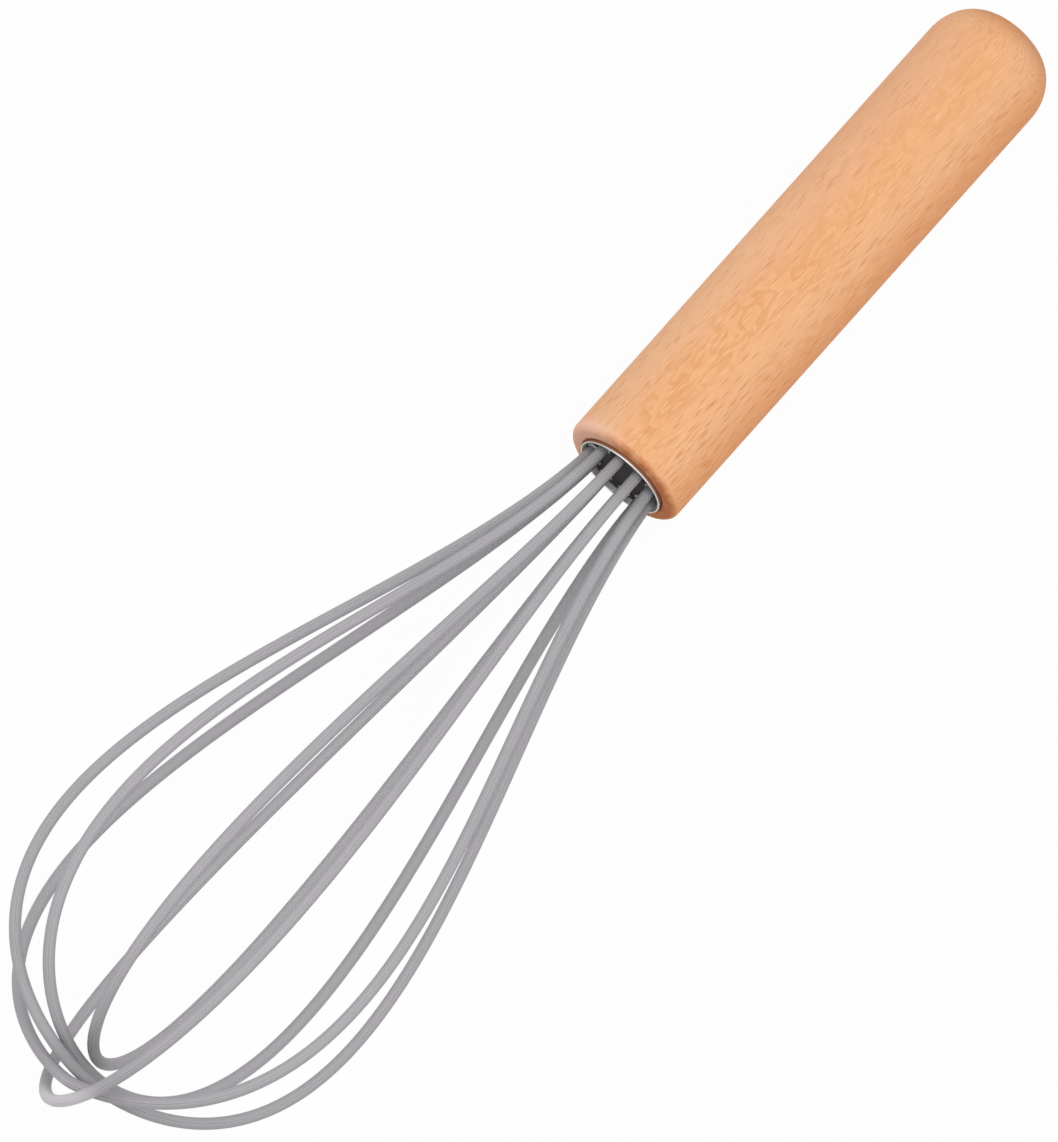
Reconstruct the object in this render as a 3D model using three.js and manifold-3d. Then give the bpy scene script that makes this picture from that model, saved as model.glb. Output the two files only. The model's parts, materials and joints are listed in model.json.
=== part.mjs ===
// Silicone-covered balloon whisk with a turned wooden handle, lying at rest on a surface.
// Millimetres. The whisk is modelled along its own axis, with the ferrule's rim at z = 0,
// the tip towards +z and the handle towards -z, and is then laid down with +Z up.

import * as THREE from 'three';
import { mergeVertices } from 'three/addons/utils/BufferGeometryUtils.js';
import Module from 'manifold-3d';

// Handle
const HANDLE_LENGTH = 117;
const HANDLE_MOUTH_DIAMETER = 25;
const HANDLE_BUTT_DIAMETER = 25.6;
const BUTT_FLAT_DIAMETER = 10.4;
const BUTT_ROUNDING_LENGTH = 9.5;
const MOUTH_EDGE_RADIUS = 1.5;

// Ferrule, a drawn steel cup let into the handle
const FERRULE_DIAMETER = 18.5;
const FERRULE_WALL = 0.5;
const FERRULE_LENGTH = 25;
const RIM_PROUD = 0.75;

// Plug, the resin cast round the wires
const PLUG_RECESS = 1.2;
const SOCKET_EDGE_WEB = 0.2;
const SLEEVE_SEAT_DEPTH = 12;
const CORE_SEAT_DEPTH = 19;

// Sleeves and wire cores
const SLEEVE_DIAMETER = 2.2;
const CORE_DIAMETER = 1;
const LAYER_GAP = 0.3;
const INNER_REACH = 147.1;

// Fits
const FERRULE_CLEARANCE = 0.25;
const PLUG_CLEARANCE = 0.2;
const SOCKET_CLEARANCE = 0.2;
const CORE_CLEARANCE = 0.15;
const SEAT_GAP = 0.3;

// Loops from the innermost to the outermost. Layer is the reach beyond the innermost loop's
// in layer steps. Azimuth, lean and flare are in degrees, and flare is how far the legs splay
// as they leave the plug. The rest are shares of INNER_REACH: exit is the length of that lead,
// shoulder is how far short of the tip the bend is drawn out to the swell, skew is what the
// hand-bent swell of one leg has over the other's, and tip is how far the bend at the tip is
// drawn out.
const LOOPS = [
  {
    name: 'c', layer: 0, azimuth: 108, lean: 0.73, flare: 1.6,
    exit: 0.294, shoulder: 0.226, swell: 0.335, skew: -0.021, tip: 0.173,
  },
  {
    name: 'e', layer: 1, azimuth: 144, lean: 1.38, flare: 2.3,
    exit: 0.349, shoulder: 0.207, swell: 0.399, skew: 0.031, tip: 0.183,
  },
  {
    name: 'a', layer: 2.1, azimuth: 0, lean: 0.66, flare: 5.7,
    exit: 0.417, shoulder: 0.136, swell: 0.459, skew: -0.029, tip: 0.135,
  },
  {
    name: 'b', layer: 3.1, azimuth: 36, lean: 0.93, flare: 5.2,
    exit: 0.436, shoulder: 0.093, swell: 0.515, skew: 0.02, tip: 0.068,
  },
  {
    name: 'd', layer: 4.6, azimuth: 72, lean: 0.32, flare: 0,
    exit: 0.345, shoulder: 0.246, swell: 0.345, skew: 0.049, tip: 0.165,
  },
];

// The whisk lies on the far legs of these two loops and on the handle's butt end
const REST_LOOPS = ['b', 'c'];
const REST_PASSES = 12;

// Facets
const ROUND_SEGMENTS = 40;
const EDGE_SEGMENTS = 6;
const DOME_SEGMENTS = 12;
const SOCKET_SEGMENTS = 12;
const SLEEVE_SIDES = 8;
const CORE_SIDES = 6;
const LEG_STEPS = 23;

// Sizes that follow from the ones above
const FERRULE_RADIUS = FERRULE_DIAMETER / 2;
const FERRULE_BORE_RADIUS = FERRULE_RADIUS - FERRULE_WALL;
const HANDLE_BORE_RADIUS = FERRULE_RADIUS + FERRULE_CLEARANCE;
const PLUG_RADIUS = FERRULE_BORE_RADIUS - PLUG_CLEARANCE;
const SLEEVE_RADIUS = SLEEVE_DIAMETER / 2;
const CORE_RADIUS = CORE_DIAMETER / 2;
const SLEEVE_BORE_RADIUS = CORE_RADIUS + CORE_CLEARANCE;
const SLEEVE_SOCKET_RADIUS = SLEEVE_RADIUS + SOCKET_CLEARANCE;
const CORE_SOCKET_RADIUS = CORE_RADIUS + SOCKET_CLEARANCE;
const LEG_RING_RADIUS = PLUG_RADIUS - SOCKET_EDGE_WEB - SLEEVE_SOCKET_RADIUS;
const LAYER_STEP = SLEEVE_DIAMETER + LAYER_GAP;
const PLUG_TOP = -PLUG_RECESS;
const PLUG_FLOOR = -FERRULE_LENGTH + FERRULE_WALL + SEAT_GAP;
const SLEEVE_END = PLUG_TOP - SLEEVE_SEAT_DEPTH;
const CORE_END = PLUG_TOP - CORE_SEAT_DEPTH;

const WHISK_AXIS = new THREE.Vector3(0, 0, 1);

const wasm = await Module();
wasm.setup();

// A run of stations that is swept point by point, so that nested sweeps share their facets
class StationCurve extends THREE.Curve {
  constructor(stations) {
    super();
    this.stations = stations;
  }

  getPoint(t, target = new THREE.Vector3()) {
    const last = this.stations.length - 1;
    return target.copy(this.stations[Math.round(t * last)]);
  }

  getPointAt(u, target) {
    return this.getPoint(u, target);
  }

  getTangentAt(u, target = new THREE.Vector3()) {
    const last = this.stations.length - 1;
    const index = Math.round(u * last);
    const before = this.stations[Math.max(index - 1, 0)];
    const after = this.stations[Math.min(index + 1, last)];
    return target.copy(after).sub(before).normalize();
  }
}

function material(color, roughness, metalness) {
  return new THREE.MeshStandardMaterial({ color, roughness, metalness });
}

function namedMesh(name, geometry, finish) {
  const mesh = new THREE.Mesh(geometry, finish);
  mesh.name = name;
  return mesh;
}

// Turns a profile of (radius, height) points about the whisk's axis
function turned(points, segments) {
  return new THREE.LatheGeometry(points, segments).rotateX(Math.PI / 2);
}

function toSolid(geometry) {
  const bare = geometry.clone();
  bare.deleteAttribute('normal');
  bare.deleteAttribute('uv');
  const merged = mergeVertices(bare);
  const vertProperties = new Float32Array(merged.attributes.position.array);
  const triVerts = new Uint32Array(merged.index.array);
  return new wasm.Manifold(new wasm.Mesh({ numProp: 3, vertProperties, triVerts }));
}

function toGeometry(solid) {
  const { vertProperties, triVerts } = solid.getMesh();
  const geometry = new THREE.BufferGeometry();
  geometry.setAttribute('position', new THREE.BufferAttribute(new Float32Array(vertProperties), 3));
  geometry.setIndex(new THREE.BufferAttribute(new Uint32Array(triVerts), 1));
  geometry.computeVertexNormals();
  return geometry;
}

// Handle: domed butt with a small flat, a slight swell to the butt, an eased mouth, a blind bore
function makeHandle() {
  const mouth = -RIM_PROUD;
  const butt = mouth - HANDLE_LENGTH;
  const boreFloor = -FERRULE_LENGTH - SEAT_GAP;
  const mouthRadius = HANDLE_MOUTH_DIAMETER / 2;
  const buttRadius = HANDLE_BUTT_DIAMETER / 2;
  const flatRadius = BUTT_FLAT_DIAMETER / 2;
  const dome = new THREE.EllipseCurve(
    flatRadius, butt + BUTT_ROUNDING_LENGTH,
    buttRadius - flatRadius, BUTT_ROUNDING_LENGTH,
    -Math.PI / 2, 0,
  );
  const edge = new THREE.EllipseCurve(
    mouthRadius - MOUTH_EDGE_RADIUS, mouth - MOUTH_EDGE_RADIUS,
    MOUTH_EDGE_RADIUS, MOUTH_EDGE_RADIUS,
    0, Math.PI / 2,
  );
  const profile = [
    new THREE.Vector2(0, butt),
    ...dome.getPoints(DOME_SEGMENTS),
    ...edge.getPoints(EDGE_SEGMENTS),
    new THREE.Vector2(HANDLE_BORE_RADIUS, mouth),
    new THREE.Vector2(HANDLE_BORE_RADIUS, boreFloor),
    new THREE.Vector2(0, boreFloor),
  ];
  return namedMesh('handle', turned(profile, ROUND_SEGMENTS), material('#d69a63', 0.5, 0));
}

// Ferrule: a thin cup with a rounded lip and a closed floor
function makeFerrule() {
  const floor = -FERRULE_LENGTH;
  const lipRadius = FERRULE_WALL / 2;
  const lip = new THREE.EllipseCurve(
    FERRULE_RADIUS - lipRadius, -lipRadius,
    lipRadius, lipRadius,
    0, Math.PI,
  );
  const profile = [
    new THREE.Vector2(0, floor),
    new THREE.Vector2(FERRULE_RADIUS, floor),
    ...lip.getPoints(EDGE_SEGMENTS),
    new THREE.Vector2(FERRULE_BORE_RADIUS, floor + FERRULE_WALL),
    new THREE.Vector2(0, floor + FERRULE_WALL),
  ];
  return namedMesh('ferrule', turned(profile, ROUND_SEGMENTS), material('#c8c6c3', 0.28, 1));
}

// Stepped socket: a sleeve's width in front, a bare wire's width behind
function makeSocket() {
  const profile = [
    new THREE.Vector2(0, CORE_END - SEAT_GAP),
    new THREE.Vector2(CORE_SOCKET_RADIUS, CORE_END - SEAT_GAP),
    new THREE.Vector2(CORE_SOCKET_RADIUS, SLEEVE_END - SEAT_GAP),
    new THREE.Vector2(SLEEVE_SOCKET_RADIUS, SLEEVE_END - SEAT_GAP),
    new THREE.Vector2(SLEEVE_SOCKET_RADIUS, PLUG_TOP + PLUG_RECESS),
    new THREE.Vector2(0, PLUG_TOP + PLUG_RECESS),
  ];
  return turned(profile, SOCKET_SEGMENTS);
}

// Plug: a short cylinder with a socket for both legs of every loop
function makePlug() {
  const profile = [
    new THREE.Vector2(0, PLUG_FLOOR),
    new THREE.Vector2(PLUG_RADIUS, PLUG_FLOOR),
    new THREE.Vector2(PLUG_RADIUS, PLUG_TOP),
    new THREE.Vector2(0, PLUG_TOP),
  ];
  let solid = toSolid(turned(profile, ROUND_SEGMENTS));
  for (const loop of LOOPS) {
    for (const azimuth of [loop.azimuth, loop.azimuth + 180]) {
      const angle = THREE.MathUtils.degToRad(azimuth);
      const socket = makeSocket();
      socket.translate(LEG_RING_RADIUS * Math.cos(angle), LEG_RING_RADIUS * Math.sin(angle), 0);
      solid = solid.subtract(toSolid(socket));
    }
  }
  return namedMesh('plug', toGeometry(solid), material('#242426', 0.2, 0));
}

// Point on the curve that a row of control points spans
function bezierPoint(controls, t) {
  let row = controls;
  while (row.length > 1) {
    row = row.slice(1).map((point, i) => row[i].clone().lerp(point, t));
  }
  return row[0];
}

// One leg from the rim to the tip. The first leg bends to side 1 of the loop's plane and the
// second to side -1, and the plane leans about the line through both feet.
function legStations(loop, side) {
  const reach = INNER_REACH + loop.layer * LAYER_STEP;
  const lead = loop.exit * INNER_REACH;
  const splay = lead * Math.tan(THREE.MathUtils.degToRad(loop.flare));
  const controls = [
    new THREE.Vector2(LEG_RING_RADIUS, 0),
    new THREE.Vector2(LEG_RING_RADIUS + splay, lead),
    new THREE.Vector2((loop.swell + side * loop.skew) * INNER_REACH, reach - loop.shoulder * INNER_REACH),
    new THREE.Vector2(loop.tip * INNER_REACH, reach),
    new THREE.Vector2(0, reach),
  ];
  const lean = Math.tan(THREE.MathUtils.degToRad(loop.lean));
  const turn = THREE.MathUtils.degToRad(loop.azimuth);
  const stations = [];
  for (let step = 0; step <= LEG_STEPS; step += 1) {
    const { x: radius, y: height } = bezierPoint(controls, step / LEG_STEPS);
    const station = new THREE.Vector3(side * radius, height * lean, height);
    stations.push(station.applyAxisAngle(WHISK_AXIS, turn));
  }
  return stations;
}

// Whole loop, with straight tails that run down into the plug through the given heights
function loopStations(loop, tailHeights) {
  const near = legStations(loop, 1);
  const far = legStations(loop, -1);
  const tail = (foot) => tailHeights.map((height) => new THREE.Vector3(foot.x, foot.y, height));
  const back = far.slice(0, -1).reverse();
  return [...tail(near[0]), ...near, ...back, ...tail(far[0]).reverse()];
}

// Circle of straight sides, drawn as a closed outline
function ringOutline(Outline, radius, sides) {
  const points = [];
  for (let side = 0; side < sides; side += 1) {
    const angle = (2 * Math.PI * side) / sides;
    points.push(new THREE.Vector2(radius * Math.cos(angle), radius * Math.sin(angle)));
  }
  return new Outline(points);
}

function swept(outline, stations) {
  return new THREE.ExtrudeGeometry(outline, {
    steps: stations.length - 1,
    extrudePath: new StationCurve(stations),
    bevelEnabled: false,
  });
}

function makeSleeve(loop) {
  const outline = ringOutline(THREE.Shape, SLEEVE_RADIUS, SLEEVE_SIDES);
  outline.holes.push(ringOutline(THREE.Path, SLEEVE_BORE_RADIUS, CORE_SIDES));
  const geometry = swept(outline, loopStations(loop, [SLEEVE_END]));
  return namedMesh(`sleeve_${loop.name}`, geometry, material('#a2a2a4', 0.55, 0));
}

function makeCore(loop) {
  const outline = ringOutline(THREE.Shape, CORE_RADIUS, CORE_SIDES);
  const geometry = swept(outline, loopStations(loop, [CORE_END, SLEEVE_END]));
  return namedMesh(`core_${loop.name}`, geometry, material('#b8b8b8', 0.3, 1));
}

// Vertex of a mesh that lies furthest against the given direction
function lowestPoint(mesh, up) {
  const positions = mesh.geometry.attributes.position;
  const lowest = new THREE.Vector3();
  const point = new THREE.Vector3();
  let least = Infinity;
  for (let i = 0; i < positions.count; i += 1) {
    const height = point.fromBufferAttribute(positions, i).dot(up);
    if (height < least) {
      least = height;
      lowest.copy(point);
    }
  }
  return lowest;
}

// Direction that points up when the whisk lies on the three given meshes
function restingUp(meshes) {
  const up = new THREE.Vector3(0, 1, 0);
  for (let pass = 0; pass < REST_PASSES; pass += 1) {
    const [first, second, third] = meshes.map((mesh) => lowestPoint(mesh, up));
    up.crossVectors(second.sub(first), third.sub(first)).normalize();
    if (up.y < 0) {
      up.negate();
    }
  }
  return up;
}

// Turn that lays the whisk down with its handle towards +X
function layingTurn(up) {
  const handleWay = new THREE.Vector3(0, 0, -1);
  const along = handleWay.addScaledVector(up, -handleWay.dot(up)).normalize();
  const across = new THREE.Vector3().crossVectors(up, along);
  const basis = new THREE.Matrix4().makeBasis(along, across, up);
  return new THREE.Quaternion().setFromRotationMatrix(basis.transpose());
}

const handle = makeHandle();
const sleeves = LOOPS.map(makeSleeve);
const cores = LOOPS.map(makeCore);
const restSleeves = REST_LOOPS.map((name) => sleeves[LOOPS.findIndex((loop) => loop.name === name)]);

const lying = new THREE.Group();
lying.add(handle, makeFerrule(), makePlug(), ...sleeves, ...cores);
lying.quaternion.copy(layingTurn(restingUp([handle, ...restSleeves])));

const whisk = new THREE.Group();
whisk.add(lying);

const box = new THREE.Box3().setFromObject(whisk, true);
const middle = box.getCenter(new THREE.Vector3());
lying.position.set(-middle.x, -middle.y, -box.min.z);

export default whisk;
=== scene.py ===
"""Dresses a balloon whisk: beech handle, steel ferrule, resin plug and silicone-covered wire loops."""

import json
import logging
import math
from dataclasses import dataclass
from enum import Enum
from typing import Any, Callable

import bmesh
import bpy
import numpy as np
from mathutils import Matrix, Vector
from mathutils.geometry import delaunay_2d_cdt


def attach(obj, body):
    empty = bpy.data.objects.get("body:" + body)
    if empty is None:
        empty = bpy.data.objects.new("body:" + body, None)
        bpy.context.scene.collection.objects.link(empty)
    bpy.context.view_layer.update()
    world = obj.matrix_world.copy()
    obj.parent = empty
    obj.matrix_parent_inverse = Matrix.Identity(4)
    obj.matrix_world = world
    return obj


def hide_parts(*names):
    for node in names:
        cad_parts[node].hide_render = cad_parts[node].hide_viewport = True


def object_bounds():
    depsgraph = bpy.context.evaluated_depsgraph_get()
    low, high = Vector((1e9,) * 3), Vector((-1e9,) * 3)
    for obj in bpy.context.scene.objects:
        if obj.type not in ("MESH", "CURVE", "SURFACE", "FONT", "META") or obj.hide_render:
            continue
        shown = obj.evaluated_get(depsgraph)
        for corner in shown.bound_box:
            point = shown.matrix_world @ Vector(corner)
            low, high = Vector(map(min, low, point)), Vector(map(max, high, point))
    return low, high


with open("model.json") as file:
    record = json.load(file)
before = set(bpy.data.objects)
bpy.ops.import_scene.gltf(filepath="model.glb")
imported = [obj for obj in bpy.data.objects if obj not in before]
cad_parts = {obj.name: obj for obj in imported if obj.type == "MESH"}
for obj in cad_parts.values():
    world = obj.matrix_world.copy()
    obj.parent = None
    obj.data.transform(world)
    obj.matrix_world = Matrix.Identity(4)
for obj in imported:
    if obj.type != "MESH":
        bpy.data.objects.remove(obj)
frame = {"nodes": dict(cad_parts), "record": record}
CAD_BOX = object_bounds()

MILLIMETRE = 0.001
BODY = "root"
LOG = logging.getLogger("whisk")

Colour = tuple[float, float, float, float]
Point = tuple[float, float]
Span = tuple[float, float]
Scale = tuple[float, float, float]
Outline = list[Point]
Settings = dict[str, Any] | None
Key = int | str
Inputs = dict[Key, Any] | None
Socket = bpy.types.NodeSocket
Piece = bpy.types.Object
Mesh = bpy.types.Mesh
Material = bpy.types.Material
Shape = bmesh.types.BMesh
Edge = bmesh.types.BMEdge


class Slot(Enum):
    """Material slots of the record, named for the pieces made here."""

    BEECH = "beech"
    FERRULE_STEEL = "ferrule_steel"
    DARK_RESIN = "dark_resin"
    GREY_SILICONE = "grey_silicone"


def srgb(red: int, green: int, blue: int) -> Colour:
    """Turns a screen colour into the linear colour that shaders take.

    Args:
        red: Red level from 0 to 255.
        green: Green level from 0 to 255.
        blue: Blue level from 0 to 255.

    Returns:
        The linear colour, opaque.
    """
    levels = [level / 255 for level in (red, green, blue)]
    linear = [level / 12.92 if level < 0.04045 else ((level + 0.055) / 1.055) ** 2.4 for level in levels]
    return (*linear, 1.0)


def arc(centre: Point, radii: Point, start: float, end: float, steps: int) -> Outline:
    """Draws a stretch of an ellipse.

    Args:
        centre: Centre of the ellipse.
        radii: Its two radii.
        start: Angle of the first point in degrees.
        end: Angle of the last point in degrees.
        steps: Number of straight steps between them.

    Returns:
        The points from start to end.
    """
    angles = np.radians(np.linspace(start, end, steps + 1))
    return [(centre[0] + radii[0] * math.cos(a), centre[1] + radii[1] * math.sin(a)) for a in angles]


def straight(start: Point, end: Point, steps: int) -> Outline:
    """Draws the points inside a straight stretch.

    Args:
        start: Point before the stretch, which is left out.
        end: Point after the stretch, which is left out.
        steps: Number of steps from start to end.

    Returns:
        The points between start and end.
    """
    shares = [step / steps for step in range(1, steps)]
    return [(start[0] + (end[0] - start[0]) * s, start[1] + (end[1] - start[1]) * s) for s in shares]


@dataclass(frozen=True)
class WhiskAxes:
    """Axes of the lying whisk, with the origin at the centre of the ferrule's rim.

    Attributes:
        rim: Centre of the rim in metres.
        side: Direction that loop a's first leg leaves the axis in.
        up: Direction out of loop a's plane, upwards.
        tip: Direction of the tip.
    """

    rim: Vector
    side: Vector
    up: Vector
    tip: Vector

    @classmethod
    def from_frame(cls, rim_to_butt: float) -> "WhiskAxes":
        """Reads the axes from the butt's mount and from the plane that loop a lies in.

        Args:
            rim_to_butt: Distance from the rim to the butt's flat in millimetres.

        Returns:
            The axes.
        """
        mount = next(m for m in frame["record"]["mounts"] if m["name"] == "butt_face")
        tip = -Vector(mount["axis"]).normalized()
        rim = Vector(mount["pos_m"]) + tip * rim_to_butt * MILLIMETRE
        points = np.array([vertex.co for vertex in frame["nodes"]["sleeve_a"].data.vertices])
        thinnest = Vector(np.linalg.svd(points - points.mean(0), full_matrices=False)[2][2])
        up = (thinnest - tip * thinnest.dot(tip)).normalized()
        if up.z < 0:
            up.negate()
        return cls(rim, up.cross(tip), up, tip)

    def matrix(self) -> Matrix:
        """Matrix from millimetres along these axes to metres in the frame."""
        turn = Matrix((self.side, self.up, self.tip)).transposed()
        return Matrix.Translation(self.rim) @ (turn * MILLIMETRE).to_4x4()

    def turn(self) -> Vector:
        """Turn of these axes as Euler angles."""
        return Vector(Matrix((self.side, self.up, self.tip)).transposed().to_euler())


class Value:
    """A number that varies over a surface: a socket whose operators add Math nodes."""

    def __init__(self, sheet: "NodeSheet", socket: Socket) -> None:
        """Wraps a socket of a sheet."""
        self.sheet = sheet
        self.socket = socket

    def _math(self, operation: str, first: "Value | float", second: "Value | float") -> "Value":
        """Adds a Math node on two numbers."""
        return self.sheet.value("ShaderNodeMath", {"operation": operation}, {0: first, 1: second})

    def __add__(self, other: "Value | float") -> "Value":
        """Sum."""
        return self._math("ADD", self, other)

    def __radd__(self, other: float) -> "Value":
        """Sum with a plain number first."""
        return self._math("ADD", other, self)

    def __sub__(self, other: "Value | float") -> "Value":
        """Difference."""
        return self._math("SUBTRACT", self, other)

    def __rsub__(self, other: float) -> "Value":
        """Difference from a plain number."""
        return self._math("SUBTRACT", other, self)

    def __mul__(self, other: "Value | float") -> "Value":
        """Product."""
        return self._math("MULTIPLY", self, other)

    def __rmul__(self, other: float) -> "Value":
        """Product with a plain number first."""
        return self._math("MULTIPLY", other, self)

    def __truediv__(self, other: "Value | float") -> "Value":
        """Quotient."""
        return self._math("DIVIDE", self, other)

    def __abs__(self) -> "Value":
        """Size without its sign."""
        return self._math("ABSOLUTE", self, 0.0)

    def larger(self, other: "Value | float") -> "Value":
        """The larger of two numbers."""
        return self._math("MAXIMUM", self, other)

    def fraction(self) -> "Value":
        """What is left above the whole number."""
        return self._math("FRACT", self, 0.0)

    def smooth(self, low: "Value | float", high: "Value | float") -> "Value":
        """Step that rises smoothly from 0 at the low number to 1 at the high one."""
        ranges = {"Value": self, "From Min": low, "From Max": high}
        return self.sheet.value("ShaderNodeMapRange", {"interpolation_type": "SMOOTHSTEP"}, ranges)


class NodeSheet:
    """A node tree that is filled node by node."""

    def __init__(self, tree: bpy.types.NodeTree) -> None:
        """Starts on an empty tree."""
        self.tree = tree
        self.tree.nodes.clear()

    def node(self, kind: str, settings: Settings = None, inputs: Inputs = None) -> bpy.types.Node:
        """Adds a node.

        Args:
            kind: Type of the node.
            settings: Properties of the node, which are set first.
            inputs: Values or links of its sockets, by name or by number.

        Returns:
            The node.
        """
        made = self.tree.nodes.new(kind)
        for name, value in (settings or {}).items():
            setattr(made, name, value)
        for key, value in (inputs or {}).items():
            if isinstance(value, Value):
                value = value.socket
            if isinstance(value, Socket):
                self.tree.links.new(value, made.inputs[key])
            else:
                made.inputs[key].default_value = value
        return made

    def socket(self, kind: str, settings: Settings = None, inputs: Inputs = None, output: Key = 0) -> Socket:
        """One output of a node that is added as by the node method."""
        return self.node(kind, settings, inputs).outputs[output]

    def value(self, kind: str, settings: Settings = None, inputs: Inputs = None, output: Key = 0) -> Value:
        """Number that a node gives, which is added as by the node method."""
        return Value(self, self.socket(kind, settings, inputs, output))


class MaterialSheet(NodeSheet):
    """The node tree of one material.

    Attributes:
        MIX_SHARE: Number of the Mix node's socket for the share of the upper colour.
        MIX_UNDER: Number of its socket for the lower colour.
        MIX_OVER: Number of its socket for the upper colour.
        MIX_COLOUR: Number of its output for the mixed colour.
    """

    MIX_SHARE = 0
    MIX_UNDER = 6
    MIX_OVER = 7
    MIX_COLOUR = 2

    def __init__(self, name: str) -> None:
        """Makes a material with an empty tree.

        Args:
            name: Name of the material.
        """
        self.material = bpy.data.materials.new(name)
        self.material.use_nodes = True
        super().__init__(self.material.node_tree)

    def along_axes(self, axes: WhiskAxes) -> Socket:
        """Place on the piece in millimetres along the whisk's axes.

        Args:
            axes: Axes of the whisk.

        Returns:
            The place as a vector of side, up and tip.
        """
        spot = self.socket("ShaderNodeTexCoord", output="Object")
        inputs = {"Vector": spot, "Location": axes.rim, "Rotation": axes.turn(), "Scale": (MILLIMETRE,) * 3}
        return self.socket("ShaderNodeMapping", {"vector_type": "TEXTURE"}, inputs)

    def scaled(self, vector: Socket, scale: Scale) -> Socket:
        """Vector with each coordinate multiplied by its own scale."""
        return self.socket("ShaderNodeVectorMath", {"operation": "MULTIPLY"}, {0: vector, 1: scale})

    def swung(self, vector: Socket, degrees: float) -> Socket:
        """Place turned about the whisk's upward axis."""
        inputs = {"Vector": vector, "Rotation": (0.0, math.radians(degrees), 0.0)}
        return self.socket("ShaderNodeMapping", inputs=inputs)

    def radius(self, spot: Socket) -> Value:
        """Distance from the whisk's axis in millimetres."""
        inputs = {0: self.scaled(spot, (1.0, 1.0, 0.0))}
        return self.value("ShaderNodeVectorMath", {"operation": "LENGTH"}, inputs, "Value")

    def attribute(self, name: str) -> Value:
        """Number that the mesh carries on its points."""
        return self.value("ShaderNodeAttribute", {"attribute_name": name}, output="Fac")

    def split(self, vector: Socket) -> tuple[Value, ...]:
        """The three coordinates of a vector."""
        parts = self.node("ShaderNodeSeparateXYZ", inputs={0: vector}).outputs
        return tuple(Value(self, part) for part in parts)

    def noise(self, place: Socket, scale: Scale, detail: float = 2.0, distortion: float = 0.0) -> Value:
        """Cloudy noise from 0 to 1.

        Args:
            place: Place on the piece.
            scale: Number of clouds to a unit along each coordinate.
            detail: Number of finer layers.
            distortion: How much the clouds are swirled.

        Returns:
            The noise.
        """
        vector = self.scaled(place, scale)
        inputs = {"Vector": vector, "Scale": 1.0, "Detail": detail, "Distortion": distortion}
        return self.value("ShaderNodeTexNoise", inputs=inputs, output="Fac")

    def cells(self, place: Socket, scale: Scale) -> tuple[Value, Value]:
        """Scattered cells.

        Args:
            place: Place on the piece.
            scale: Number of cells to a unit along each coordinate.

        Returns:
            The distance to the middle of the nearest cell, and that cell's own number from 0 to 1.
        """
        inputs = {"Vector": self.scaled(place, scale), "Scale": 1.0}
        found = self.node("ShaderNodeTexVoronoi", inputs=inputs).outputs
        number = self.value("ShaderNodeSeparateColor", inputs={0: found["Color"]})
        return Value(self, found["Distance"]), number

    def blend(self, share: Value, under: Socket | Colour, over: Socket | Colour) -> Socket:
        """Lays a share of one colour over another."""
        inputs = {self.MIX_SHARE: share, self.MIX_UNDER: under, self.MIX_OVER: over}
        return self.socket("ShaderNodeMix", {"data_type": "RGBA"}, inputs, self.MIX_COLOUR)

    def relief(self, height: Value, depth: float) -> Socket:
        """Normal of a surface whose height from 0 to 1 stands for a depth in millimetres."""
        return self.socket("ShaderNodeBump", inputs={"Distance": depth * MILLIMETRE, "Height": height})

    def finish(self, **inputs: Any) -> Material:
        """Ends the sheet in one surface shader.

        Args:
            **inputs: Sockets of the shader, with underscores for spaces.

        Returns:
            The material.
        """
        named = {name.replace("_", " "): value for name, value in inputs.items()}
        shader = self.socket("ShaderNodeBsdfPrincipled", inputs=named)
        self.node("ShaderNodeOutputMaterial", inputs={"Surface": shader})
        return self.material


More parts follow.
